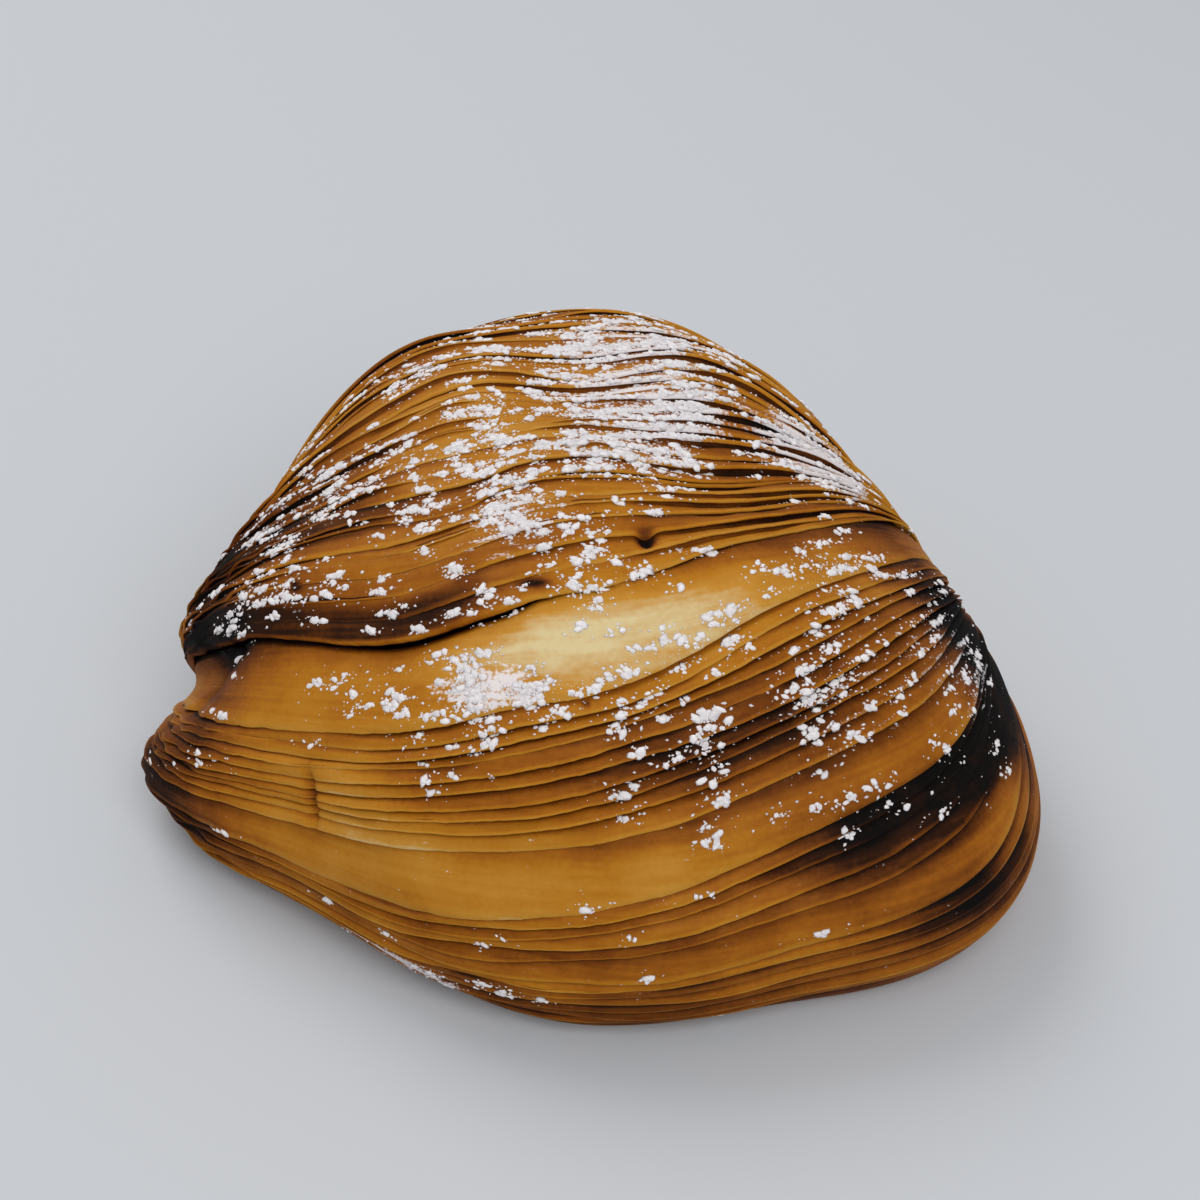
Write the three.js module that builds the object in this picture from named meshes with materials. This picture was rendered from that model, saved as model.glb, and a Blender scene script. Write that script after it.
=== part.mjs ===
import * as THREE from "three";

// Sfogliatella riccia: a shell of thin leaves of dough, baked, resting on its flat underside.
// Millimetres, +Z up, +X to the right, -Y towards the front; the origin is under its middle.

// Radii of the plan at the widest height, every 30 degrees from +X, anticlockwise
const planRadii = [54, 51, 52, 51, 54, 54, 57.5, 43, 40, 41, 44, 55];
const widestHeight = 12;
const topAboveWidest = 38.4;
const bottomBelowWidest = 22.4;

// Roundness of the side wall, where 2 is an ellipse, less is a slope and more is a box
const frontRoundness = 2.2;
const sideRoundness = 1.65;
const backRoundness = 3.5;
const underRoundness = 2.4;

// The crown stands a little left of and behind the middle
const crownShift = { x: -5.7, y: 13.5 };

// The two corners, where the leaves run together, lie behind the middle, the left one low
const corners = {
  left: { setback: 0.36, drop: -0.14 },
  right: { setback: 0.6, drop: 0 },
};

// Edges of chosen leaves, from the back over the top to the front hem. An edge is an angle
// round the left-right axis, in degrees: 0 front, 90 top, 180 back. It is mid in the middle,
// tilt more at the right, and left and right lift its ends. Each row also gives the number of
// leaves since the row above, and how far its own edge stands over the next leaf.
const leafEdges = [
  { mid: 206, tilt: 0, left: 0, right: 0, leaves: 0, step: 0.8 },
  { mid: 165, tilt: 2, left: -6, right: 0, leaves: 9, step: 0.7 },
  { mid: 124, tilt: 4, left: -12, right: -2, leaves: 10, step: 0.8 },
  { mid: 103, tilt: 4, left: -12, right: -6, leaves: 6, step: 0.8 },
  { mid: 81, tilt: 5, left: -8, right: 0, leaves: 6, step: 0.8 },
  { mid: 56, tilt: 11, left: 15, right: 10, leaves: 7, step: 2.2 },
  { mid: 42, tilt: 11, left: 4, right: 9, leaves: 1, step: 0.6 },
  { mid: 34, tilt: 10, left: 2, right: 2, leaves: 4, step: 0.7 },
  { mid: 23, tilt: 8, left: 1, right: 3, leaves: 5, step: 1.1 },
  { mid: 13, tilt: 10, left: 8, right: 9, leaves: 1, step: 0.7 },
  { mid: 4, tilt: 9, left: 8, right: 14, leaves: 4, step: 1.3 },
  { mid: -1, tilt: 5, left: 6, right: 17, leaves: 1, step: 0.6 },
  { mid: -13, tilt: 3, left: 10, right: 14, leaves: 5, step: 0.6 },
];
const lipEdge = 5;
const fullTurn = 360;

// The underside runs from the hem back to the first edge. Each of its leaves has points at
// these shares of its width, and the groove is at the first of them.
const underLeaves = 8;
const underShares = [0.12, 0.3, 1];
const underGroove = 0.5;

// Hollows and swellings of the surface: place and half-width in degrees, depth in millimetres
const hollows = [
  { angle: 44, across: 18, angleWidth: 18, acrossWidth: 16, depth: 7.5 },
  { angle: 48, across: 20, angleWidth: 7, acrossWidth: 8, depth: 1 },
  { angle: 66, across: 18, angleWidth: 7, acrossWidth: 8, depth: -1.2 },
  { angle: 9, across: 15, angleWidth: 8, acrossWidth: 10, depth: -1.8 },
  { angle: 18, across: 88, angleWidth: 6, acrossWidth: 32, depth: 0.8 },
  { angle: 20, across: 130, angleWidth: 7, acrossWidth: 13, depth: 1.8 },
  { angle: 23, across: 45, angleWidth: 4, acrossWidth: 3, depth: 1.4 },
  { angle: 63, across: 52, angleWidth: 8, acrossWidth: 26, depth: -0.8 },
  { angle: 28, across: 44, angleWidth: 8, acrossWidth: 16, depth: -0.6 },
];

// The lip stands furthest over the leaf below at the left and sinks into it at the right
const lipFadeAcross = 92;
const lipFadeWidth = 12;
const lipRightShare = 0.3;

// The rows of points run across from one corner to the other, with a plain cone at each corner
const columns = 39;
const cornerAcross = 14;
const bandRows = 4;
const riserShare = 0.22;
const riserCurve = 1.4;

// Near the corners the relief fades out, and a step is at most this much per degree
const reliefFadeAcross = 20;
const grooveFadeAcross = 30;
const stepPerDegree = 0.08;

// Spread of the leaves: where an edge lies, how thick a leaf is and how many waves it has
const edgeSpread = 0.12;
const thicknessSpread = 0.25;
const fewestWaves = 2;
const extraWaves = 3;
const waveSeed = 11;

// An edge waves to and fro by this share of its leaf's width, up to the widest that counts
const edgeWave = 0.15;
const bandEdgeWave = 0.045;
const widestWaving = 3;
const edgeWaveRate = 2;
const surfaceWave = 0.3;
const surfaceWaveRate = 1.6;

// A linear congruential draw
const drawFactor = 1664525;
const drawIncrement = 1013904223;
const drawRange = 2 ** 32;

const crust = new THREE.MeshStandardMaterial({ color: 0xb9803a, roughness: 0.45, metalness: 0 });

const radians = THREE.MathUtils.degToRad;

// A repeatable draw between 0 and 1
function seededDraw(seed) {
  let state = seed;
  return () => {
    state = (Math.imul(state, drawFactor) + drawIncrement) >>> 0;
    return state / drawRange;
  };
}

// Plan radius at an azimuth: a closed Catmull-Rom curve through the named radii
function planRadius(azimuth) {
  const count = planRadii.length;
  const place = ((azimuth / (2 * Math.PI)) * count + count) % count;
  const index = Math.floor(place);
  const part = place - index;
  const [a, b, c, d] = [-1, 0, 1, 2].map((step) => planRadii[(index + step + count) % count]);
  const linear = (c - a) * part;
  const square = (2 * a - 5 * b + 4 * c - d) * part ** 2;
  const cube = (3 * b - a - 3 * c + d) * part ** 3;
  return 0.5 * (2 * b + linear + square + cube);
}

// Side wall roundness, blended from the sides to the front or the back
function roundness(direction) {
  if (direction.z < 0) return underRoundness;
  const level = Math.hypot(direction.x, direction.y);
  const facing = level > 0 ? direction.y / level : 0;
  const end = facing > 0 ? backRoundness : frontRoundness;
  return sideRoundness + (end - sideRoundness) * facing ** 2;
}

// Direction from the middle of the pastry, by angle round the axis and place across it
function directionAt(angle, across) {
  const x = -Math.cos(radians(across));
  const around = Math.sin(radians(across));
  const corner = x < 0 ? corners.left : corners.right;
  const y = -around * Math.cos(radians(angle)) + corner.setback * x ** 2;
  const z = around * Math.sin(radians(angle)) + corner.drop * x ** 2;
  return new THREE.Vector3(x, y, z).normalize();
}

// Point of the surface in a direction, moved out along it by the relief
function surfacePoint(angle, across, relief) {
  const direction = directionAt(angle, across);
  const power = roundness(direction);
  const level = Math.hypot(direction.x, direction.y) / planRadius(Math.atan2(direction.y, direction.x));
  const height = direction.z < 0 ? bottomBelowWidest : topAboveWidest;
  const rise = Math.abs(direction.z) / height;
  const radius = (level ** power + rise ** power) ** (-1 / power);
  const point = direction.multiplyScalar(radius + relief);
  const share = THREE.MathUtils.clamp(point.z / topAboveWidest, 0, 1) ** 2;
  point.x += crownShift.x * share;
  point.y += crownShift.y * share;
  point.z = Math.max(point.z + widestHeight, 0);
  return point;
}

// Angle of a chosen edge at a place across the pastry
function edgeAngle(edge, across) {
  const side = -Math.cos(radians(across));
  const lift = side < 0 ? edge.left : edge.right;
  return edge.mid + edge.tilt * side + lift * side ** 4;
}

// How far an edge stands over the next leaf; the lip is deep at the left only
function edgeStep(edge, across) {
  if (edge !== leafEdges[lipEdge]) return edge.step;
  const fade = 1 / (1 + Math.exp((across - lipFadeAcross) / lipFadeWidth));
  return edge.step * (lipRightShare + (1 - lipRightShare) * fade);
}

// Depth of all hollows at a place of the surface, each a bell curve both ways
function hollowDepth(angle, across) {
  let depth = 0;
  for (const hollow of hollows) {
    const away = ((angle - hollow.angle) / hollow.angleWidth) ** 2;
    const aside = ((across - hollow.across) / hollow.acrossWidth) ** 2;
    depth += hollow.depth * Math.exp(-away - aside);
  }
  return depth;
}

// Share of the full relief at a place across, from none at a corner
function cornerFade(across, reach) {
  return Math.min(1, Math.min(across, 180 - across) / reach);
}

// Every leaf in order: its edge lies between two chosen edges, with its own wave
function listLeaves() {
  const draw = seededDraw(waveSeed);
  const spread = (reach) => reach * (2 * draw() - 1);
  const hem = leafEdges[leafEdges.length - 1];
  const leaves = [];
  for (let row = 1; row < leafEdges.length; row += 1) {
    const [above, below] = [leafEdges[row - 1], leafEdges[row]];
    const band = below.leaves === 1;
    for (let leaf = 1; leaf <= below.leaves; leaf += 1) {
      const chosen = leaf === below.leaves;
      const uneven = chosen ? 0 : spread(edgeSpread);
      leaves.push({
        above,
        below,
        share: (leaf + uneven) / below.leaves,
        edge: chosen ? below : null,
        wave: chosen && below === hem ? 0 : band ? bandEdgeWave : edgeWave,
        waveCount: fewestWaves + extraWaves * draw(),
        wavePhase: 2 * Math.PI * draw(),
        thickness: 1 + spread(thicknessSpread),
        rows: band ? bandRows : 1,
      });
    }
  }
  return leaves;
}

// Angle of a leaf's free edge at a place across the pastry
function leafAngle(leaf, across) {
  const from = edgeAngle(leaf.above, across);
  const to = edgeAngle(leaf.below, across);
  const spacing = Math.min((from - to) / leaf.below.leaves, widestWaving);
  const sway = Math.sin(leaf.waveCount * radians(edgeWaveRate * across) + leaf.wavePhase);
  return from + (to - from) * leaf.share + leaf.wave * spacing * sway;
}

// Height of a leaf's free edge over the next leaf
function leafStep(leaf, across) {
  const step = leaf.edge ? edgeStep(leaf.edge, across) : leaf.below.step * leaf.thickness;
  return Math.min(step, stepPerDegree * Math.min(across, 180 - across));
}

// Rows of points from the back over the top to the hem, each a function of the place across.
// A leaf rises out of the step under the edge above and runs out to its own edge.
function leafRows() {
  const leaves = listLeaves();
  const rows = [];
  leaves.forEach((leaf, order) => {
    const before = leaves[order - 1];
    const fromAngle = (across) => (before ? leafAngle(before, across) : leafEdges[0].mid);
    const fromStep = (across) => (before ? leafStep(before, across) : 0);
    const parts = [riserShare / leaf.rows];
    for (let part = 1; part <= leaf.rows; part += 1) parts.push(part / leaf.rows);
    for (const part of parts) {
      rows.push((across) => {
        const angle = fromAngle(across) + (leafAngle(leaf, across) - fromAngle(across)) * part;
        const sink = fromStep(across) * (1 - part) ** riserCurve;
        const turn = leaf.waveCount * radians(surfaceWaveRate * across) + 2 * leaf.wavePhase;
        const relief = surfaceWave * Math.sin(turn) * part - sink - hollowDepth(angle, across);
        return surfacePoint(angle, across, relief * cornerFade(across, reliefFadeAcross));
      });
    }
  });
  return rows;
}

// Rows of the flat underside, from the hem to the back, with a groove before each leaf
function underRows() {
  const rows = [];
  const hem = leafEdges[leafEdges.length - 1];
  const back = leafEdges[0].mid - fullTurn;
  for (let leaf = 0; leaf < underLeaves; leaf += 1) {
    for (const part of underShares) {
      const share = (leaf + part) / underLeaves;
      if (share === 1) continue;
      rows.push((across) => {
        const from = edgeAngle(hem, across);
        const point = surfacePoint(from + (back - from) * share, across, 0);
        if (part === underShares[0]) point.z += underGroove * cornerFade(across, grooveFadeAcross);
        return point;
      });
    }
  }
  return rows;
}

// Closed skin: rows run round the left-right axis, and each row meets both corners
function pastryGeometry() {
  const rows = [...leafRows(), ...underRows()];
  const ends = [surfacePoint(0, 0, 0), surfacePoint(0, 180, 0)];
  const positions = ends.flatMap((point) => point.toArray());
  const spread = (180 - 2 * cornerAcross) / (columns - 1);
  for (const row of rows) {
    for (let column = 0; column < columns; column += 1) {
      positions.push(...row(cornerAcross + spread * column).toArray());
    }
  }
  const vertex = (row, column) => 2 + (row % rows.length) * columns + column;
  const triangles = [];
  for (let row = 0; row < rows.length; row += 1) {
    triangles.push(0, vertex(row + 1, 0), vertex(row, 0));
    for (let column = 0; column < columns - 1; column += 1) {
      const [a, b] = [vertex(row, column), vertex(row, column + 1)];
      const [c, d] = [vertex(row + 1, column + 1), vertex(row + 1, column)];
      triangles.push(a, d, b, b, d, c);
    }
    triangles.push(1, vertex(row, columns - 1), vertex(row + 1, columns - 1));
  }
  const geometry = new THREE.BufferGeometry();
  geometry.setAttribute("position", new THREE.Float32BufferAttribute(positions, 3));
  geometry.setIndex(triangles);
  geometry.computeBoundingBox();
  const middle = geometry.boundingBox.getCenter(new THREE.Vector3());
  geometry.translate(-middle.x, -middle.y, 0);
  geometry.computeVertexNormals();
  return geometry;
}

const sfogliatella = new THREE.Group();
const pastry = new THREE.Mesh(pastryGeometry(), crust);
pastry.name = "pastry";
sfogliatella.add(pastry);

export default sfogliatella;
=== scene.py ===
import math
import bpy
import numpy as np
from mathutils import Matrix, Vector


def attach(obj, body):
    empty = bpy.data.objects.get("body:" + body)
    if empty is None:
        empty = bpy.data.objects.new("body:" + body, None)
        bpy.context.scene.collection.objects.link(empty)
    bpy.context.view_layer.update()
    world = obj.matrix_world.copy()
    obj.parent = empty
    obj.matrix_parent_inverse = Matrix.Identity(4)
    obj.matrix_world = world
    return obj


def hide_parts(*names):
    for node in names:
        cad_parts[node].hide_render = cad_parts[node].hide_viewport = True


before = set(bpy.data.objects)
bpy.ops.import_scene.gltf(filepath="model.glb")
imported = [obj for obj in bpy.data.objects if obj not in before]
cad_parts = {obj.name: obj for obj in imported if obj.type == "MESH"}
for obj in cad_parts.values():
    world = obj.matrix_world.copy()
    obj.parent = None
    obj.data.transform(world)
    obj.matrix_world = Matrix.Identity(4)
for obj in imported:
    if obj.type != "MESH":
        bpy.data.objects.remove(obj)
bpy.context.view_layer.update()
print("frame loaded")

mm = 0.001   # lengths below are in millimetres and angles in degrees
tiny = 1e-9  # keeps a division from zero

# The pastry's form, as in the solid: plan radii every 30 degrees from +X, heights, roundness
form = {
    "planRadii": [54, 51, 52, 51, 54, 54, 57.5, 43, 40, 41, 44, 55],
    "widestHeight": 12.0,
    "topAboveWidest": 38.4,
    "bottomBelowWidest": 22.4,
    "frontRoundness": 2.2,
    "sideRoundness": 1.65,
    "backRoundness": 3.5,
    "underRoundness": 2.4,
    "crownShift": (-5.7, 13.5),
    "setback": (0.36, 0.6),      # left and right corner, behind the middle
    "drop": (-0.14, 0.0),
    "middle": (-2.06, 5.96),     # middle of the plan's box, from the form's own axis
    "meanRadius": 46.0,
}

# Chosen leaf edges from the back over the top, the front and the hem to the underside:
# mid angle, tilt, left lift, right lift, leaves since the row above, step over the next leaf
leafEdges = [
    (206, 0, 0, 0, 0, 0.8),
    (165, 2, -6, 0, 11, 0.6),
    (124, 4, -12, -2, 14, 0.6),
    (103, 4, -12, -6, 7, 0.5),
    (81, 5, -8, 0, 7, 0.55),
    (56, 11, 15, 10, 8, 1.7),
    (42, 11, 4, 9, 1, 0.45),
    (34, 10, 2, 2, 4, 0.5),
    (23, 8, 1, 3, 5, 0.9),
    (13, 10, 8, 9, 1, 0.55),
    (4, 9, 8, 14, 4, 1.1),
    (-1, 5, 6, 17, 1, 0.5),
    (-13, 3, 10, 14, 6, 0.45),
    (-154, 0, 0, 0, 12, 0.4),
]
lipRow = 5
hemRow = 12

# Hollows and swellings of the surface: angle, across, half-widths of both, depth
hollows = [
    (44, 18, 18, 16, 7.5),        # notch behind the left corner, under the lip
    (48, 20, 7, 8, 1.0),
    (66, 18, 7, 8, -1.2),         # swollen beak of the lip
    (9, 15, 8, 10, -1.8),
    (18, 88, 6, 32, 0.8),
    (20, 130, 7, 13, 1.8),        # burnt hollow
    (63, 52, 8, 26, -0.8),
    (28, 44, 8, 16, -0.6),
    (23, 45.4, 4.5, 0.6, 1.5),    # torn place
    (53, 28, 2.4, 4.0, 2.2),      # hole under the beak
    (64.5, 105, 1.6, 1.3, 1.3),   # small hole over the lip
]

leafLook = {
    "seed": 5,
    "columns": 270,
    "firstAcross": 1.5,           # degrees between a corner and the nearest column
    "cornerReach": 22,            # degrees from a corner over which the relief grows
    "underAngles": (-40, -15),    # the relief fades out between these on its way underneath
    "thickness": 0.34,            # of one leaf at its free edge
    "thicknessSpread": 0.25,
    "thicknessPerStep": 0.65,     # most that the thickness takes of the step
    "undercut": 0.8,              # how far back the gap reaches under an edge
    "undercutRange": (0.3, 1.6),
    "undercutPerSpacing": 0.25,   # most that the gap takes of the space between edges
    "stepPerDegree": 0.09,        # most that a step grows away from a corner
    "uneven": 0.33,               # spread of the spacing between edges
    "sharedSway": 0.75,           # slow wander that neighbouring edges share, degrees
    "sharedKnots": (22, 9),
    "ownSway": 0.38,              # slow wander of one edge, by knots along it and their share
    "slowKnots": ((10, 0.7), (26, 0.3)),
    "ragged": 0.13,               # quick wander of one edge
    "quickKnots": ((80, 0.6), (190, 0.4)),
    "leftRagged": 3.2,            # more of it near the left corner
    "leftRaggedAcross": (26, 46),
    "freeSpacing": 2.4,           # edges closer together than this wander less
    "hemSway": 0.5,               # share of the wander on the hem
    "swellKnots": ((8, 0.85), (34, 0.3)),  # rise and fall of the step along an edge
    "swellRange": (0.1, 1.9),
    "lift": 0.42,                 # slow rise and fall of an edge
    "liftKnots": 13,
    "cornerLift": 0.65,           # quick rise and fall of the edges near the left corner
    "cornerLiftKnots": 70,
    "cornerLiftAcross": (24, 42),
}
lidLook = {
    "firstRow": 3,
    "leftAcross": (30, 52),       # the edges grow faint between these places
    "rightAcross": (98, 128),     # and strong again between these
    "leftStep": 1.45,
    "rightStep": 0.5,             # added at the right
    "faint": (0.08, 0.75),        # share of the step that is left in the middle, by leaf
}
lipLook = {
    "thickness": 1.0,
    "undercut": 2.6,
    "openAcross": (78, 88),       # the lip sinks into the leaf below between these places
    "rightShare": 0.3,
    "uneven": 0.25,
    "unevenKnots": 12,
    "aboveStep": 0.5,             # step of the leaves above the lip
    "smoothLeaves": 4,            # of those, the last ones fade out at the left
    "smoothShare": 0.12,
    "smoothAcross": (48, 90),
}
bulgeLook = {
    "depth": 0.5,                 # slow unevenness of the whole surface
    "waves": 5,
    "along": (3, 1.7),            # waves in a full turn along the leaves: first wave, each next
    "around": (2.3, 1),           # the same round the axis
    "bend": 40,                   # degrees that a wave winds sideways
    "evenOut": 2.2,               # brings the sum of the waves back to the depth
}


def planRadius(azimuth):
    # closed Catmull-Rom curve through the named radii
    radii = np.array(form["planRadii"], float)
    count = len(radii)
    place = (azimuth / (2 * np.pi) * count) % count
    index = np.floor(place).astype(int) % count
    part = place - np.floor(place)
    a, b, c, d = (radii[(index + step) % count] for step in (-1, 0, 1, 2))
    return 0.5 * (2 * b + (c - a) * part + (2 * a - 5 * b + 4 * c - d) * part**2
                  + (3 * b - a - 3 * c + d) * part**3)


def surfacePoint(angle, across, relief):
    # direction by angle round the left-right axis and place across it, radius from a
    # superellipse between plan radius and height, crown shifted by the height squared
    turn, place = np.radians(angle), np.radians(across)
    x = -np.cos(place)
    around = np.sin(place)
    y = -around * np.cos(turn) + np.where(x < 0, *form["setback"]) * x**2
    z = around * np.sin(turn) + np.where(x < 0, *form["drop"]) * x**2
    direction = np.stack([x, y, z], -1)
    direction /= np.linalg.norm(direction, axis=-1, keepdims=True)
    x, y, z = direction[..., 0], direction[..., 1], direction[..., 2]
    level = np.hypot(x, y)
    facing = y / np.maximum(level, tiny)
    end = np.where(facing > 0, form["backRoundness"], form["frontRoundness"])
    power = form["sideRoundness"] + (end - form["sideRoundness"]) * facing**2
    power = np.where(z < 0, form["underRoundness"], power)
    height = np.where(z < 0, form["bottomBelowWidest"], form["topAboveWidest"])
    wide = (level / planRadius(np.arctan2(y, x))) ** power
    radius = (wide + (np.abs(z) / height) ** power) ** (-1 / power) + relief
    point = direction * radius[..., None]
    share = np.clip(point[..., 2] / form["topAboveWidest"], 0, 1) ** 2
    point[..., 0] += form["crownShift"][0] * share - form["middle"][0]
    point[..., 1] += form["crownShift"][1] * share - form["middle"][1]
    point[..., 2] = np.maximum(point[..., 2] + form["widestHeight"], 0)
    return point


def edgeAngle(row, across):
    # mid angle plus a tilt and fourth-power lifts at both ends
    mid, tilt, left, right = leafEdges[row][:4]
    side = -np.cos(np.radians(across))
    return mid + tilt * side + np.where(side < 0, left, right) * side**4


def smoothNoise(rng, knots, *places):
    # random values on one or two rows of knots, joined by smooth steps; places run 0 to 1
    values = rng.uniform(-1, 1, [count + 2 for count in knots])
    lows, eases = [], []
    for count, place in zip(knots, places):
        where = np.clip(place, 0, 1) * count
        low = np.floor(where).astype(int)
        part = where - low
        lows.append(low)
        eases.append(part * part * (3 - 2 * part))
    if len(knots) == 1:
        return values[lows[0]] * (1 - eases[0]) + values[lows[0] + 1] * eases[0]
    near = values[lows[0], lows[1]] * (1 - eases[1]) + values[lows[0], lows[1] + 1] * eases[1]
    far = values[lows[0] + 1, lows[1]] * (1 - eases[1]) + values[lows[0] + 1, lows[1] + 1] * eases[1]
    return near * (1 - eases[0]) + far * eases[0]


def smoothStep(value, low, high):
    # 0 at low and 1 at high, with three p squared less two p cubed in between
    part = np.clip((value - low) / (high - low), 0, 1)
    return part * part * (3 - 2 * part)


def softPatch(angle, across, patch):
    # bell shape round a place: angle, across and both half-widths
    return np.exp(-((angle - patch[0]) / patch[2]) ** 2 - ((across - patch[1]) / patch[3]) ** 2)


def patchSum(patches, angle, across):
    # bell shape of every patch, each times its amount
    return sum(patch[4] * softPatch(angle, across, patch) for patch in patches)


# Every leaf: angle of its edge, step, gap and thickness, as leaf by column arrays
rng = np.random.default_rng(leafLook["seed"])
across = np.linspace(leafLook["firstAcross"], 180 - leafLook["firstAcross"], leafLook["columns"])
unit = across / 180
fromCorner = np.minimum(across, 180 - across)
cornerFade = np.clip(fromCorner / leafLook["cornerReach"], 0, 1)
lidRight = smoothStep(across, *lidLook["rightAcross"])
lidMiddle = smoothStep(across, *lidLook["leftAcross"]) * (1 - lidRight)
lidEnds = lidLook["leftStep"] + lidLook["rightStep"] * lidRight
millimetreAngle = math.degrees(1 / form["meanRadius"])  # turn that moves a point a millimetre
rowOfLeaf = np.concatenate([np.full(row[4], index) for index, row in enumerate(leafEdges)])
leafCount = len(rowOfLeaf)
lipLeaf = int(np.flatnonzero(rowOfLeaf == lipRow)[-1])


def layeredNoise(layers, start=0):
    # start plus smooth noises along an edge, each by its number of knots and its share
    return sum((share * smoothNoise(rng, (knots,), unit) for knots, share in layers), start)


def lipShape(step):
    # step, gap and thickness of the lip, from large where it stands open to small at the right
    raised = 1 - smoothStep(across, *lipLook["openAcross"])
    share = lipLook["rightShare"] + (1 - lipLook["rightShare"]) * raised
    uneven = 1 + lipLook["uneven"] * smoothNoise(rng, (lipLook["unevenKnots"],), unit)
    cut = leafLook["undercut"] + (lipLook["undercut"] - leafLook["undercut"]) * raised
    extra = (lipLook["thickness"] - leafLook["thickness"]) * raised
    return step * share * uneven, cut, leafLook["thickness"] + extra


def leafShape(row, leaf, spacing, swell, slow, faint):
    # step, gap and thickness of any other leaf: its row's step times the swell, faint in the
    # middle of the lid and fading out at the left just above the lip
    leaves, step = leafEdges[row][4:6]
    ownStep = lipLook["aboveStep"] if row == lipRow else step
    ownStep = ownStep * np.clip(swell, *leafLook["swellRange"])
    if lidLook["firstRow"] <= row <= lipRow:
        ownStep = ownStep * (lidEnds + (faint - lidEnds) * lidMiddle)
    if row == lipRow and leaf >= leaves - lipLook["smoothLeaves"]:
        least = lipLook["smoothShare"]
        ownStep = ownStep * (least + (1 - least) * smoothStep(across, *lipLook["smoothAcross"]))
    cut = leafLook["undercut"] * np.clip(swell, *leafLook["undercutRange"])
    cut = np.minimum(cut, leafLook["undercutPerSpacing"] * spacing / millimetreAngle)
    return ownStep, cut, leafLook["thickness"] * (1 + leafLook["thicknessSpread"] * slow)


def planLeaves():
    # edges at uneven shares of the way between the chosen ones, plus a wander of their own and
    # one that neighbours share; no edge passes the one above it
    edges, steps, cuts, thicks = [], [], [], []
    order = np.linspace(0, 1, leafCount)
    shared = smoothNoise(rng, leafLook["sharedKnots"], order[:, None], unit[None, :])
    leftMore = leafLook["leftRagged"] * (1 - smoothStep(across, *leafLook["leftRaggedAcross"]))
    ragged = leafLook["ragged"] * (1 + leftMore)
    for row in range(1, len(leafEdges)):
        leaves, step = leafEdges[row][4:6]
        above, below = edgeAngle(row - 1, across), edgeAngle(row, across)
        spacing = (above - below) / leaves
        closeness = np.minimum(1, spacing / leafLook["freeSpacing"])
        shares = np.arange(1, leaves + 1) + leafLook["uneven"] * rng.uniform(-1, 1, leaves)
        shares[-1] = leaves
        sway = {hemRow: leafLook["hemSway"], len(leafEdges) - 1: 0.0}.get(row, 1.0)
        for leaf in range(leaves):
            slow = layeredNoise(leafLook["slowKnots"])
            quick = layeredNoise(leafLook["quickKnots"])
            wander = leafLook["ownSway"] * slow + ragged * quick
            wander = wander + leafLook["sharedSway"] * shared[len(edges)]
            swell = layeredNoise(leafLook["swellKnots"], 1)
            faint = rng.uniform(*lidLook["faint"])
            if len(edges) == lipLeaf:
                ownStep, cut, thick = lipShape(step)
            else:
                ownStep, cut, thick = leafShape(row, leaf, spacing, swell, slow, faint)
            edge = above + (below - above) * shares[leaf] / leaves
            edges.append(edge + sway * wander * closeness * cornerFade)
            steps.append(np.minimum(ownStep, leafLook["stepPerDegree"] * fromCorner))
            cuts.append(cut * cornerFade)
            thicks.append(np.minimum(thick, leafLook["thicknessPerStep"] * steps[-1]))
    edges = np.minimum.accumulate(np.array(edges), 0)
    return edges, np.array(steps), np.array(cuts), np.array(thicks)


def planLift(generator, depth, knots):
    # smooth noise along every edge, times a depth
    return np.array([depth * smoothNoise(generator, (knots,), unit) for _ in range(leafCount)])


edgeTable, stepTable, cutTable, thickTable = planLeaves()
liftTable = planLift(rng, leafLook["lift"], leafLook["liftKnots"])
cornerRng = np.random.default_rng(leafLook["seed"] + 1)
leftCorner = 1 - smoothStep(across, *leafLook["cornerLiftAcross"])
liftTable += planLift(cornerRng, leafLook["cornerLift"], leafLook["cornerLiftKnots"]) * leftCorner
fromTable = np.vstack([edgeAngle(0, across)[None], edgeTable[:-1]])
fromStepTable = np.vstack([0 * across[None], stepTable[:-1]])
bulgeWaves = rng.uniform(0, 2 * np.pi, (bulgeLook["waves"], 3))
print("leaves planned:", leafCount)


def surfaceBulge(angle, across):
    # sum of slow waves, each a sine along the leaves times a sine round the axis
    total = 0
    for index, (first, second, third) in enumerate(bulgeWaves):
        alongTurns = bulgeLook["along"][0] + bulgeLook["along"][1] * index
        aroundTurns = bulgeLook["around"][0] + bulgeLook["around"][1] * index
        winding = bulgeLook["bend"] * np.sin(np.radians(angle) + third)
        along = np.radians(across * alongTurns + winding)
        total = total + np.sin(along + first) * np.sin(np.radians(angle * aroundTurns) + second)
    return bulgeLook["depth"] * total / bulgeLook["evenOut"]


# Cross-section of a leaf: share of the way from the edge above to its own edge, and how much
# of the step above is still to rise; then the rounded nose and the gap beneath it
profile = {
    "share": [0.0, 0.09, 0.22, 0.40, 0.60, 0.78, 0.91, 1.0],
    "rise": [1.0, 0.78, 0.56, 0.34, 0.17, 0.06, 0.0, 0.0],
    "nose": [(1.0, 0.25), (1.0, 0.7), (0.2, 1.0)],     # out, and down through the thickness
    "noseOut": 0.08,
    "noseShare": 0.1,
    "gap": [(0.6, 0.12, 1.3), (1.0, 0.6, 1.5)],        # back, down to the next leaf, and share
}


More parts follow.
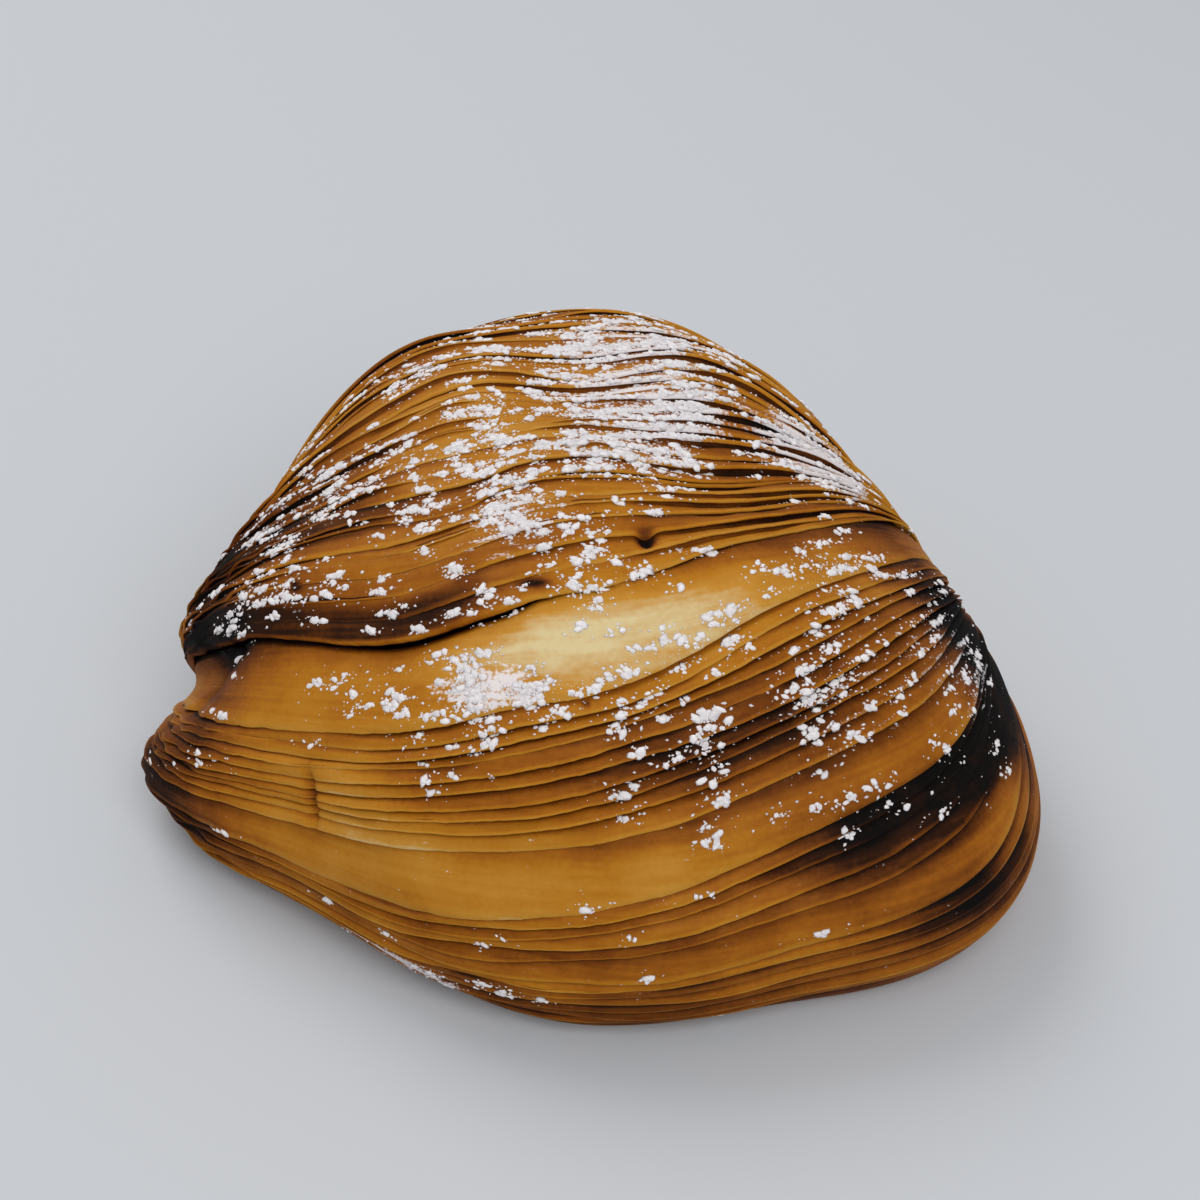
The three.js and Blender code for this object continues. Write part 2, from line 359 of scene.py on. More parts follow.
def leafGrids():
    # angle, sink and share of every point: eight rows on the outer face, three round the
    # nose and two in the gap beneath it
    angles, sinks, shares = [], [], []
    for share, rise in zip(profile["share"], profile["rise"]):
        angles.append(fromTable + (edgeTable - fromTable) * share)
        sinks.append(fromStepTable * rise)
        shares.append(share)
    nose = profile["noseOut"] * millimetreAngle * cornerFade
    for out, deep in profile["nose"]:
        angles.append(edgeTable - nose * out)
        sinks.append(thickTable * deep)
        shares.append(1.0 + profile["noseShare"] * deep)
    gap = cutTable * millimetreAngle
    for back, deep, share in profile["gap"]:
        angles.append(edgeTable + gap * back)
        sinks.append(thickTable + (stepTable - thickTable) * deep)
        shares.append(share)
    angleGrid, sinkGrid = np.stack(angles, 1), np.stack(sinks, 1)
    shareGrid = np.broadcast_to(np.array(shares)[None, :, None], angleGrid.shape)
    return angleGrid, sinkGrid, shareGrid


angleGrid, sinkGrid, shareGrid = leafGrids()
rowsPerLeaf = angleGrid.shape[1]
acrossGrid = np.broadcast_to(across, angleGrid.shape)
liftGrid = liftTable[:, None, :] * np.clip(shareGrid, 0, 1) ** 2
underFade = smoothStep(angleGrid, *leafLook["underAngles"])
relief = liftGrid - patchSum(hollows, angleGrid, acrossGrid) + surfaceBulge(angleGrid, acrossGrid)
relief = relief * cornerFade * underFade - sinkGrid
pointGrid = surfacePoint(angleGrid, acrossGrid, relief)
cornerPoints = [surfacePoint(np.array(0.0), np.array(end), np.array(0.0)) for end in (0.0, 180.0)]


def leafSurface(angle, place):
    # point, outward normal, direction along the leaf and share of the way to its free edge,
    # by the leaf whose edges lie on either side of the angle in the nearest column
    column = np.round((place - across[0]) / (across[1] - across[0]))
    column = np.clip(column, 0, len(across) - 1).astype(int)
    leaf = np.clip((edgeTable[:, column] >= angle).sum(0), 0, leafCount - 1)
    begin, end = fromTable[leaf, column], edgeTable[leaf, column]
    share = np.clip((angle - begin) / np.minimum(end - begin, -tiny), 0, 1)
    sink = fromStepTable[leaf, column] * np.interp(share, profile["share"], profile["rise"])
    lift = liftTable[leaf, column] * share**2
    height = lift - patchSum(hollows, angle, place) + surfaceBulge(angle, place)
    height = height * cornerFade[column]
    point = surfacePoint(angle, place, height - sink)
    near = 0.5  # degrees
    side = surfacePoint(angle, place + near, height) - surfacePoint(angle, place - near, height)
    down = surfacePoint(angle - near, place, height) - surfacePoint(angle + near, place, height)
    normal = np.cross(down, side)
    normal /= np.linalg.norm(normal, axis=-1, keepdims=True)
    side /= np.linalg.norm(side, axis=-1, keepdims=True)
    return point, normal, side, share


def buildMesh(name, points, faces):
    # smooth-shaded mesh at the origin, from points in millimetres and arrays of face corners
    mesh = bpy.data.meshes.new(name)
    mesh.vertices.add(len(points))
    mesh.vertices.foreach_set("co", (np.asarray(points) * mm).ravel().astype(np.float32))
    loops = np.concatenate([np.asarray(part).ravel() for part in faces])
    sizes = np.concatenate([np.full(len(part), np.asarray(part).shape[1]) for part in faces])
    mesh.loops.add(len(loops))
    mesh.loops.foreach_set("vertex_index", loops.astype(np.int32))
    mesh.polygons.add(len(sizes))
    starts = np.concatenate([[0], np.cumsum(sizes)[:-1]])
    mesh.polygons.foreach_set("loop_start", starts.astype(np.int32))
    mesh.update(calc_edges=True)
    mesh.validate()
    mesh.polygons.foreach_set("use_smooth", np.ones(len(mesh.polygons), bool))
    piece = bpy.data.objects.new(name, mesh)
    bpy.context.scene.collection.objects.link(piece)
    return piece


def setAttribute(piece, name, values):
    # one number for every point, for the materials to read
    layer = piece.data.attributes.new(name, "FLOAT", "POINT")
    layer.data.foreach_set("value", np.asarray(values, np.float32).ravel())


# Browning, with painted shade and highlights, from 0, cream, to 1, burnt black: angle, across, both
# half-widths, amount
browningAndPaintedLight = {
    "base": 0.465,
    "patches": [
        (66, 27, 60, 8, 0.36),      # dark left side of the lid
        (134, 60, 14, 14, 0.30),    # dark hump at the top left
        (80, 42, 18, 19, 0.34),
        (120, 24, 30, 12, 0.30),
        (90, 76, 12, 18, -0.16),
        (92, 130, 25, 14, 0.16),
        (60, 146, 20, 7, 0.20),
        # paler lower left leaves: painted highlight
        (27, 48, 6, 15, -0.24),
        (16, 54, 5, 20, -0.13),
        (2, 90, 8, 60, 0.07),
        (31, 110, 5, 16, 0.28),     # dark patch on the right middle leaves
        (34, 124, 12, 16, 0.10),
        (18, 131, 3.6, 12, 0.80),   # hollow under the right leaves: partly burnt crust, partly painted shade
        (17.5, 139, 3.2, 6, 0.60),
        (32, 151, 17, 7, 0.66),     # burnt right side
        (19, 151, 8, 9, 0.55),
        (11, 146, 5, 4, 0.26),
        (4, 132, 3.5, 6, 0.34),
        (18, 76, 4, 34, -0.14),     # golden band
        (13, 123, 2.5, 8, 0.34),
        (-1, 135, 5, 8, 0.30),
        (12, 20, 9, 7, 0.36),       # left corner
        (4, 28, 8, 9, 0.24),
        # darker hem bottom: partly its own browning, partly painted contact shadow
        (-12, 90, 6, 60, 0.28),
        (170, 90, 40, 70, 0.08),    # back
    ],
    "belly": [
        (51, 97, 7, 25, -0.50),     # cream leaf under the lip
        (47, 76, 5, 18, -0.16),
        (50, 50, 8, 18, -0.08),
        (53, 28, 2.4, 4.0, 0.60),   # painted shade in the hole under the beak
        (41, 92, 0.5, 0.4, 0.5),
    ],
    # painted shade in a crack, small holes and a slit
    "spots": [
        (23, 45.4, 5, 0.8, 0.35),   # painted shade in the crack
        (64.5, 105, 1.6, 1.4, 0.60),
        (61, 45, 0.9, 0.8, 0.50),
        (57.5, 86, 0.7, 2.6, 0.50),
    ],
    "lip": 0.40,                    # band along the lip, by degrees above its edge
    "lipFrom": (-0.8, 0.0),
    "lipTo": (3.5, 8.0),
    "lipAcross": (66, 92),
    "under": 0.16,
    "underAngles": (-30, -12),
    "root": 0.22,                   # painted shade where a leaf comes out from under the one above
    "rootShares": (0.0, 0.55),
    "paintedRootShadeSteps": (0.05, 0.3),
    "rim": -0.17,                   # painted highlight along each free edge
    "paintedHighlightFrom": (0.8, 0.98),
    "paintedHighlightTo": (1.05, 1.2),
    "leastPaintedHighlight": 0.2,
    # painted shade in the gap under each free edge
    "gap": 0.30,
    "paintedGapShadeShares": (1.15, 1.4),
    "leafSpread": 0.09,
    "wholeLeaf": 0.8,               # how far a narrow leaf browns as one
    "narrowLeaf": (6.0, 3.0),       # degrees between wide and narrow
}

# Icing sugar, from none to a closed layer: angle, across, both half-widths, amount
sugaring = [
    (98, 112, 9, 11, 0.80),
    (102, 99, 8, 8, 0.70),
    (86, 105, 10, 13, 0.62),
    (68, 84, 7, 10, 0.7),
    (119, 104, 12, 16, 0.7),
    (97, 134, 16, 10, 0.85),
    (87, 143, 16, 7, 0.75),
    (90, 66, 30, 24, 0.42),
    (80, 38, 22, 12, 0.44),
    (60, 60, 6, 24, 0.20),
    (44, 75, 4, 11, 1.0),
    (44, 70, 7, 24, 0.14),
    (57, 119, 6, 12, 0.26),
    (44, 130, 14, 14, 0.38),
    (34, 118, 9, 22, 0.25),
    (26, 130, 7, 14, 0.22),
    (28, 146, 16, 8, 0.55),
    (18, 24, 18, 10, 0.20),
    (16, 13, 20, 6, 0.40),
    (-9, 57, 4, 15, 0.9),
    (-12, 124, 4, 8, 0.25),
    (140, 95, 30, 40, 0.20),
    (60, 90, 90, 60, 0.05),
]


def browningAndPaintedLightGrid():
    # base plus all patches, the lip, the underside, a draw for each leaf, painted shade at roots,
    # painted highlight on rims and painted shade in gaps
    narrow = smoothStep(fromTable - edgeTable, *browningAndPaintedLight["narrowLeaf"])[:, None]
    leafAngle = angleGrid + browningAndPaintedLight["wholeLeaf"] * narrow * (edgeTable[:, None] - angleGrid)
    tone = browningAndPaintedLight["base"] + patchSum(browningAndPaintedLight["patches"], leafAngle, acrossGrid)
    tone = tone + patchSum(browningAndPaintedLight["spots"], angleGrid, acrossGrid)
    belowLip = (np.arange(leafCount) > lipLeaf)[:, None, None]
    tone = tone + patchSum(browningAndPaintedLight["belly"], angleGrid, acrossGrid) * belowLip
    lipAway = angleGrid - edgeAngle(lipRow, acrossGrid)
    lipBand = smoothStep(lipAway, *browningAndPaintedLight["lipFrom"]) * (1 - smoothStep(lipAway, *browningAndPaintedLight["lipTo"]))
    tone = tone + browningAndPaintedLight["lip"] * lipBand * (1 - smoothStep(acrossGrid, *browningAndPaintedLight["lipAcross"]))
    tone = tone + browningAndPaintedLight["under"] * (1 - smoothStep(angleGrid, *browningAndPaintedLight["underAngles"]))
    tone = tone + browningAndPaintedLight["leafSpread"] * rng.uniform(-1, 1, leafCount)[:, None, None]
    # painted shade near each leaf's root, under the edge of the leaf above
    paintedRootShadeMask = smoothStep(fromStepTable, *browningAndPaintedLight["paintedRootShadeSteps"])[:, None]
    tone = tone + browningAndPaintedLight["root"] * (1 - smoothStep(shareGrid, *browningAndPaintedLight["rootShares"])) * paintedRootShadeMask
    # painted highlight along each leaf's free edge
    rim = smoothStep(shareGrid, *browningAndPaintedLight["paintedHighlightFrom"]) * (1 - smoothStep(shareGrid, *browningAndPaintedLight["paintedHighlightTo"]))
    tone = tone + browningAndPaintedLight["rim"] * rim * np.clip(tone / browningAndPaintedLight["base"], browningAndPaintedLight["leastPaintedHighlight"], 1)
    # painted shade in the gap under each leaf's nose
    return np.clip(tone + browningAndPaintedLight["gap"] * smoothStep(shareGrid, *browningAndPaintedLight["paintedGapShadeShares"]), 0, 1)


def sugarAmount(angle, across):
    # all patches of icing sugar, up to a closed layer
    return np.minimum(patchSum(sugaring, angle, across), 1)


powderLook = {
    "perAmount": 1.35,
    "least": 0.45,         # thinner sugar leaves no film
    "face": 0.4,           # share of the film on a leaf's face
    "edge": 0.9,           # more of it towards the free edge
    "edgeWidth": 0.35,
    "lastShare": 1.15,     # none beyond the nose
}


def powderGrid():
    # sugar above the least amount, times a bell shape towards the free edge
    edge = np.exp(-((1 - shareGrid) / powderLook["edgeWidth"]) ** 2)
    amount = powderLook["perAmount"] * sugarAmount(angleGrid, acrossGrid) - powderLook["least"]
    film = np.clip(amount, 0, 1) * (powderLook["face"] + powderLook["edge"] * edge)
    return film * (shareGrid < powderLook["lastShare"])


toneGrid = browningAndPaintedLightGrid()
dustGrid = powderGrid()
inside = {
    "heart": np.array([0.0, 0.0, 18.0]),
    "wallShare": 0.86,     # the inner wall stands this far out from the heart
    "tone": 0.7,
}


def leafPiece(name, first, last):
    # closed ring of rows: the leaves' faces outside, a smooth wall inside, both corners shut
    part = slice(first, last + 1)
    outer = pointGrid[part].reshape(-1, len(across), 3)
    wall = inside["heart"] + (outer[::-rowsPerLeaf] - inside["heart"]) * inside["wallShare"]
    rows = np.concatenate([outer, wall])
    count, wide = rows.shape[:2]
    points = np.concatenate([[cornerPoints[0], cornerPoints[1]], rows.reshape(-1, 3)])
    index = 2 + np.arange(count * wide).reshape(count, wide)
    below = np.roll(index, -1, 0)
    quads = np.stack([index[:, :-1], below[:, :-1], below[:, 1:], index[:, 1:]], -1).reshape(-1, 4)
    left = np.stack([np.zeros(count, int), below[:, 0], index[:, 0]], -1)
    right = np.stack([np.ones(count, int), index[:, -1], below[:, -1]], -1)
    piece = buildMesh(name, points, [quads, left, right])
    ends, spare = np.full(2, inside["tone"]), np.full(len(wall) * wide, inside["tone"])
    setAttribute(piece, "tone", np.concatenate([ends, toneGrid[part].ravel(), spare]))
    setAttribute(piece, "dust", np.concatenate([0 * ends, dustGrid[part].ravel(), 0 * spare]))
    corners = np.zeros(len(piece.data.loops), np.int32)
    piece.data.loops.foreach_get("vertex_index", corners)
    alongLeaf = np.concatenate([[0, 1], acrossGrid[part].ravel() / 180, 0 * spare])
    downLeaf = np.concatenate([[0, 0], angleGrid[part].ravel() / 180, 0 * spare])
    layer = piece.data.uv_layers.new(name="leafMap")
    layer.data.foreach_set("uv", np.stack([alongLeaf[corners], downLeaf[corners]], -1).ravel())
    return piece


def leafRange(firstRow, lastRow):
    # first and last leaf of some rows of chosen edges
    wanted = np.flatnonzero((rowOfLeaf >= firstRow) & (rowOfLeaf <= lastRow))
    return int(wanted[0]), int(wanted[-1])


leafGroups = {"backLeaves": (1, 2), "lidLeaves": (3, 5), "bellyLeaves": (6, 10), "hemLeaves": (11, 13)}
leafPieces = [leafPiece(name, *leafRange(*rows)) for name, rows in leafGroups.items()]
print("leaf pieces built")

sugarLook = {
    "seed": 23,
    "tries": 60000,
    "angles": (-18, 185),
    "sides": 0.97,               # share of the width that can take sugar
    "noiseAngles": (-20, 190),   # the patchy noises run over these
    "cover": 0.35,               # patchiness: base, two noises by knots and weight, power
    "coarse": ((34, 30), 0.6),
    "fine": ((110, 100), 0.5),
    "mostPatchy": 2,
    "patchPower": 1.3,
    "rootShares": (0.05, 0.4),   # no sugar under the edge above
    "face": 0.45,                # weight on a leaf's face
    "edge": 1.5,                 # more of it towards the free edge
    "edgeWidth": 0.22,
    "leastSlope": 0.1,
    "slopePower": 0.6,
    "clusters": 1650,
    "acrossShare": 0.42,         # spread across a leaf against the spread along it
    "placeRange": (4, 176),
    "turn": 0.5,                 # radians
    "stretch": (1.0, 1.9),
    "rough": (0.7, 1.3),
    "sizePower": 2.0,            # many small, few large
    "clumps": 8200,
    "clumpSides": 6,
    "clumpSpread": 0.68,         # degrees along the leaf
    "clumpSize": (0.12, 0.58),   # half-width, smallest and largest
    "clumpHeight": 0.42,         # share of the half-width
    "grains": 13000,
    "grainSpread": 1.9,
    "grainSize": (0.07, 0.24),
    "grainHeight": 0.7,
}
sugarRng = np.random.default_rng(sugarLook["seed"])


def sugarPlaces(count):
    # places drawn by amount of sugar, two patchy noises, free edges and upward slope
    angle = sugarRng.uniform(*sugarLook["angles"], sugarLook["tries"])
    side = sugarRng.uniform(-sugarLook["sides"], sugarLook["sides"], sugarLook["tries"])
    place = np.degrees(np.arccos(side))
    _, normal, _, share = leafSurface(angle, place)
    low, high = sugarLook["noiseAngles"]
    noisePlace = ((angle - low) / (high - low), place / 180)
    coarse = smoothNoise(sugarRng, sugarLook["coarse"][0], *noisePlace)
    fine = smoothNoise(sugarRng, sugarLook["fine"][0], *noisePlace)
    patchy = sugarLook["cover"] + sugarLook["coarse"][1] * coarse + sugarLook["fine"][1] * fine
    patchy = np.clip(patchy, 0, sugarLook["mostPatchy"]) ** sugarLook["patchPower"]
    nearEdge = np.exp(-((1 - share) / sugarLook["edgeWidth"]) ** 2)
    edges = sugarLook["face"] + sugarLook["edge"] * nearEdge
    edges = smoothStep(share, *sugarLook["rootShares"]) * edges
    slope = np.clip(normal[:, 2], sugarLook["leastSlope"], 1) ** sugarLook["slopePower"]
    weight = sugarAmount(angle, place) * patchy * edges * slope
    picked = sugarRng.choice(len(angle), count, replace=False, p=weight / weight.sum())
    return angle[picked], place[picked]


def aroundPlaces(centres, count, spread):
    # members scattered round the centres, further along the leaf than across it
    index = sugarRng.integers(0, len(centres[0]), count)
    angle = centres[0][index] + sugarRng.normal(0, sugarLook["acrossShare"] * spread, count)
    place = centres[1][index] + sugarRng.normal(0, spread, count)
    return leafSurface(angle, np.clip(place, *sugarLook["placeRange"]))


def sizeDraw(count, limits):
    # from the smallest to the largest by a power of an even draw
    part = sugarRng.uniform(0, 1, count) ** sugarLook["sizePower"]
    return limits[0] + (limits[1] - limits[0]) * part


def scatterShape(name, shape, faces, places, sizes, height):
    # the shape laid on the surface at every place, turned, stretched and roughened
    point, normal, side = places[:3]
    turn = sugarRng.normal(0, sugarLook["turn"], len(point))[:, None]
    other = np.cross(normal, side)
    long = side * np.cos(turn) + other * np.sin(turn)
    wide = np.cross(normal, long)
    stretch = sugarRng.uniform(*sugarLook["stretch"], len(point))[:, None]
    rough = sugarRng.uniform(*sugarLook["rough"], (len(point), len(shape), 1))
    local = shape[None] * rough * sizes[:, None, None]
    spots = (point[:, None] + local[..., :1] * (long * stretch)[:, None]
             + local[..., 1:2] * wide[:, None] + local[..., 2:] * (normal * height)[:, None])
    spots[..., 2] = np.maximum(spots[..., 2], 0.0)
    index = faces[None] + (np.arange(len(point)) * len(shape))[:, None, None]
    return buildMesh(name, spots.reshape(-1, 3), [index.reshape(-1, 3)])


dome = {
    "ringOut": 0.64,       # of the half-width
    "ringHeight": 0.78,    # of the height, as the next two
    "rimHeight": -0.2,
    "baseHeight": -0.3,
}


def domeShape(around):
    # low dome of unit size: centre, a ring part of the way out, a slightly sunk rim and base centre
    turn = np.arange(around) / around * 2 * np.pi
    ring = np.stack([np.cos(turn), np.sin(turn), np.full(around, dome["ringHeight"])], -1)
    ring[:, :2] *= dome["ringOut"]
    turn = turn + np.pi / around
    rim = np.stack([np.cos(turn), np.sin(turn), np.full(around, dome["rimHeight"])], -1)
    points = np.concatenate([[[0, 0, 1.0]], ring, rim, [[0, 0, dome["baseHeight"]]]])
    step = np.arange(around)
    after = np.roll(step, -1)
    top = np.stack([0 * step, 1 + step, 1 + after], -1)
    sideIn = np.stack([1 + step, 1 + around + step, 1 + after], -1)
    sideOut = np.stack([1 + after, 1 + around + step, 1 + around + after], -1)
    base = np.stack([1 + around + after, 1 + around + step, 0 * step + 1 + 2 * around], -1)
    return points, np.concatenate([top, sideIn, sideOut, base])


def grainShape():
    # eight-sided grain: a point at either end of each axis
    points = np.concatenate([np.eye(3), -np.eye(3)])
    faces = [(0, 1, 2), (1, 3, 2), (3, 4, 2), (4, 0, 2), (1, 0, 5), (3, 1, 5), (4, 3, 5), (0, 4, 5)]
    return points, np.array(faces)


clusterCentres = sugarPlaces(sugarLook["clusters"])
clumpPlaces = aroundPlaces(clusterCentres, sugarLook["clumps"], sugarLook["clumpSpread"])
clumpSizes = sizeDraw(sugarLook["clumps"], sugarLook["clumpSize"])
sugarClumps = scatterShape("sugarClumps", *domeShape(sugarLook["clumpSides"]), clumpPlaces,
                           clumpSizes, sugarLook["clumpHeight"])
grainPlaces = aroundPlaces(clusterCentres, sugarLook["grains"], sugarLook["grainSpread"])
grainSizes = sizeDraw(sugarLook["grains"], sugarLook["grainSize"])
sugarGrains = scatterShape("sugarGrains", *grainShape(), grainPlaces, grainSizes,
                           sugarLook["grainHeight"])
print("icing sugar built")


def newMaterial(name):
    # material with its node tree and its shader
    material = bpy.data.materials.new(name)
    material.use_nodes = True
    return material, material.node_tree, material.node_tree.nodes["Principled BSDF"]


def setInputs(node, values):
    # fixed values of a node's inputs, by name
    for name, value in values.items():
        node.inputs[name].default_value = value


def addNoise(tree, place, scale, detail):
    # noise between 0 and 1 by place, finer with the scale
    noise = tree.nodes.new("ShaderNodeTexNoise")
    setInputs(noise, {"Scale": scale, "Detail": detail})
    tree.links.new(place, noise.inputs["Vector"])
    return noise.outputs["Fac"]


def addLeafNoise(tree, stretch, detail):
    # noise by place on a leaf, with a scale along it and one across it
    leafMap = tree.nodes.new("ShaderNodeUVMap")
    leafMap.uv_map = "leafMap"
    mapping = tree.nodes.new("ShaderNodeMapping")
    setInputs(mapping, {"Scale": (*stretch, 1)})
    tree.links.new(leafMap.outputs["UV"], mapping.inputs["Vector"])
    return addNoise(tree, mapping.outputs["Vector"], 1, detail)


def addSum(tree, weights, *values):
    # the first weight, plus each value times its own weight
    total = weights[0]
    for value, factor in zip(values, weights[1:]):
        node = tree.nodes.new("ShaderNodeMath")
        node.operation = "MULTIPLY_ADD"
        tree.links.new(value, node.inputs[0])
        node.inputs[1].default_value = factor
        if isinstance(total, float):
            node.inputs[2].default_value = total
        else:
            tree.links.new(total, node.inputs[2])
        total = node.outputs[0]
    return total


def addAttribute(tree, name):
    # value that setAttribute gave to the points
    node = tree.nodes.new("ShaderNodeAttribute")
    node.attribute_name = name
    return node.outputs["Fac"]


def addRamp(tree, factor, stops):
    # colour by factor, straight between the stops; the ramp starts out with the first two
    ramp = tree.nodes.new("ShaderNodeValToRGB")
    tree.links.new(factor, ramp.inputs["Fac"])
    elements = ramp.color_ramp.elements
    for index, (place, colour) in enumerate(stops):
        element = elements[index] if index < 2 else elements.new(place)
        element.position = place
        element.color = (*colour, 1)
    return ramp.outputs["Color"]


def addBump(tree, shader, height, strength, distance):
    # shading by height, where 1 stands a distance in metres above 0
    bump = tree.nodes.new("ShaderNodeBump")
    setInputs(bump, {"Strength": strength, "Distance": distance})
    tree.links.new(height, bump.inputs["Height"])
    tree.links.new(bump.outputs["Normal"], shader.inputs["Normal"])


# Crust: colours by browning (with painted shade and highlights) in linear light, scale and detail of
# each noise, weights of sums
crustLook = {
    "stops": [
        (0.0, (0.66, 0.53, 0.28)),
        (1.0, (0.003, 0.002, 0.0015)),
        (0.20, (0.52, 0.24, 0.030)),
        (0.38, (0.43, 0.165, 0.009)),
        (0.52, (0.31, 0.095, 0.005)),
        (0.68, (0.15, 0.038, 0.002)),
        (0.84, (0.028, 0.007, 0.001)),
    ],
    "powder": (0.80, 0.77, 0.79),
    "mask": [(0.1, (0, 0, 0)), (0.6, (0.85, 0.85, 0.85))],
    "blotch": (130, 4),
    "speck": (1400, 2),
    "fleck": (2400, 2),
    "streak": ((10, 150), 3),
    "film": ((42, 170), 4),
    "toneWeights": (-0.30, 1.0, 0.32, 0.10, 0.20),      # start, browning with painted shade and highlights, blotch, speck, streak
    "powderWeights": (-3.0, 1.7, 2.8, 1.9),             # start, dust, film, fleck
    "roughWeights": (0.24, 0.2, 0.1, 0.4, 0.4),         # start, blotch, speck, mask, tone
    "heightWeights": (0.0, 0.5, 0.5, 0.8),              # start, speck, streak, blotch
    "bump": (0.7, 0.0002),
    "shader": {
        "Subsurface Weight": 0.12,
        "Subsurface Radius": (0.004, 0.002, 0.001),
        "Subsurface Scale": 1.0,
        "Specular IOR Level": 0.09,
    },
}


def crustMaterial():
    # browning, with its painted shade and highlights, plus noises picks the colour, dust plus noises
    # the share of powder over it;
    # roughness and bump are sums of the same noises
    material, tree, shader = newMaterial("crust")
    coordinates = tree.nodes.new("ShaderNodeTexCoord").outputs["Object"]
    blotch = addNoise(tree, coordinates, *crustLook["blotch"])
    speck = addNoise(tree, coordinates, *crustLook["speck"])
    fleck = addNoise(tree, coordinates, *crustLook["fleck"])
    streak = addLeafNoise(tree, *crustLook["streak"])
    film = addLeafNoise(tree, *crustLook["film"])
    tone = addSum(tree, crustLook["toneWeights"], addAttribute(tree, "tone"), blotch, speck, streak)
    powder = addSum(tree, crustLook["powderWeights"], addAttribute(tree, "dust"), film, fleck)
    mask = addRamp(tree, powder, crustLook["mask"])
    mix = tree.nodes.new("ShaderNodeMix")
    mix.data_type = "RGBA"
    mix.inputs["B"].default_value = (*crustLook["powder"], 1)
    tree.links.new(mask, mix.inputs["Factor"])
    tree.links.new(addRamp(tree, tone, crustLook["stops"]), mix.inputs["A"])
    tree.links.new(mix.outputs["Result"], shader.inputs["Base Color"])
    rough = addSum(tree, crustLook["roughWeights"], blotch, speck, mask, tone)
    tree.links.new(rough, shader.inputs["Roughness"])
    height = addSum(tree, crustLook["heightWeights"], speck, streak, blotch)
    addBump(tree, shader, height, *crustLook["bump"])
    setInputs(shader, crustLook["shader"])
    return material


# Icing sugar: white by a noise, with scale and detail of each noise
whiteLook = {
    "stops": [(0.3, (0.82, 0.77, 0.79)), (0.7, (0.96, 0.92, 0.93))],
    "shade": (900, 3),
    "grain": (4200, 3),
    "bump": (0.8, 0.0003),
    "shader": {
        "Roughness": 0.85,
        "Specular IOR Level": 0.2,
        "Subsurface Weight": 0.2,
        "Subsurface Radius": (0.001, 0.001, 0.001),
        "Subsurface Scale": 1.0,
    },
}


def sugarMaterial():
    # a coarse noise picks the white and a fine one makes the bump
    material, tree, shader = newMaterial("icingSugar")
    coordinates = tree.nodes.new("ShaderNodeTexCoord").outputs["Object"]
    shade = addRamp(tree, addNoise(tree, coordinates, *whiteLook["shade"]), whiteLook["stops"])
    tree.links.new(shade, shader.inputs["Base Color"])
    grain = addNoise(tree, coordinates, *whiteLook["grain"])
    addBump(tree, shader, grain, *whiteLook["bump"])
    setInputs(shader, whiteLook["shader"])
    return material


crust = crustMaterial()
sugar = sugarMaterial()
for pieces, material, slot in ((leafPieces, crust, "crust"),
                               ([sugarClumps, sugarGrains], sugar, "icing_sugar")):
    for piece in pieces:
        piece.data.materials.append(material)
        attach(piece, "root")
        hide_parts("pastry")
print("materials set")

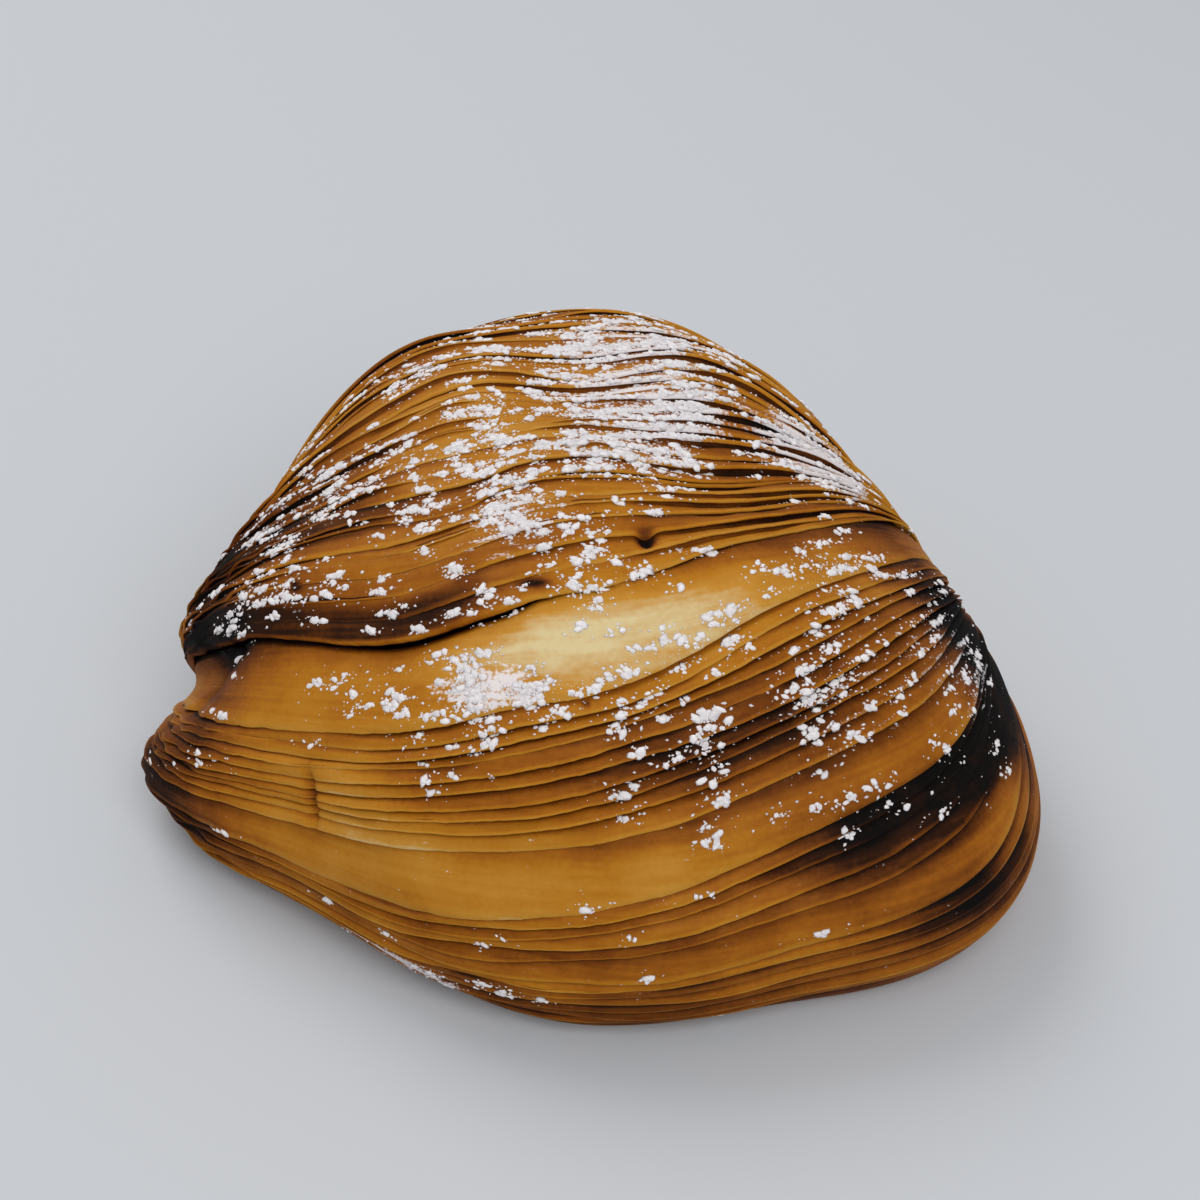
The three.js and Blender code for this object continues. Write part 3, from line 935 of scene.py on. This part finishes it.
# Floor, light and camera; sizes and places of floor and lights in metres
stage = {
    "floorSize": 3.0,
    "floorDrop": 0.0003,
    "floor": {"Base Color": (0.55, 0.57, 0.6, 1), "Roughness": 0.8},
    "world": {"Color": (0.95, 0.97, 1.0, 1), "Strength": 0.5},
    "target": (0, 0, 0.02),
    "lights": [    # name, place, size, power, colour
        ("windowLight", (-0.35, 0.45, 0.75), 0.6, 3.0, (1, 0.98, 0.95)),
        ("fillLight", (0.2, -0.6, 0.7), 0.7, 4.2, (1, 0.99, 0.97)),
    ],
}
floorHalf = stage["floorSize"] / 2 / mm
floorPoints = np.array([(-1, -1, 0), (1, -1, 0), (1, 1, 0), (-1, 1, 0)]) * floorHalf
floorPoints[:, 2] = -stage["floorDrop"] / mm
floor = buildMesh("floor", floorPoints, [np.array([[0, 1, 2, 3]])])
paper, _, paperShader = newMaterial("palePaper")
setInputs(paperShader, stage["floor"])
floor.data.materials.append(paper)

world = bpy.data.worlds.new("softRoom")
world.use_nodes = True
setInputs(world.node_tree.nodes["Background"], stage["world"])
bpy.context.scene.world = world
bpy.context.scene.view_settings.view_transform = "Standard"


def softLight(name, place, size, power, colour):
    # round area light that faces the target
    data = bpy.data.lights.new(name, "AREA")
    data.shape = "DISK"
    data.size = size
    data.energy = power
    data.color = colour
    light = bpy.data.objects.new(name, data)
    bpy.context.scene.collection.objects.link(light)
    light.location = place
    facing = Vector(stage["target"]) - Vector(place)
    light.rotation_euler = facing.to_track_quat("-Z", "Y").to_euler()


for lightRow in stage["lights"]:
    softLight(*lightRow)
print("floor and lights set")

view = {
    "elevation": 40.0,
    "distance": 300.0,           # to the aim point
    "aim": (0.0, 0.0, 20.0),     # on the form's own axis
    "aimPixel": (598.0, 693.5),
    "pixelSize": 0.125,          # at the aim point
    "frameSize": 1200,           # pixels
    "sensorWidth": 36.0,
    "clipStart": 0.01,           # metres
}
rise = math.radians(view["elevation"])
forward = Vector((0, math.cos(rise), -math.sin(rise)))
upward = Vector((0, math.sin(rise), math.cos(rise)))
aim = Vector(view["aim"]) - Vector((form["middle"][0], form["middle"][1], 0))
focal = view["distance"] / view["pixelSize"]
half = view["frameSize"] / 2
toCentre = (forward + Vector((1, 0, 0)) * ((half - view["aimPixel"][0]) / focal)
            + upward * ((view["aimPixel"][1] - half) / focal))
cameraData = bpy.data.cameras.new("camera")
cameraData.sensor_fit = "HORIZONTAL"
cameraData.sensor_width = view["sensorWidth"]
cameraData.lens = view["sensorWidth"] * focal / view["frameSize"]
cameraData.clip_start = view["clipStart"]
camera = bpy.data.objects.new("camera", cameraData)
bpy.context.scene.collection.objects.link(camera)
camera.location = (aim - forward * view["distance"]) * mm
camera.rotation_euler = toCentre.to_track_quat("-Z", "Y").to_euler()
bpy.context.scene.camera = camera
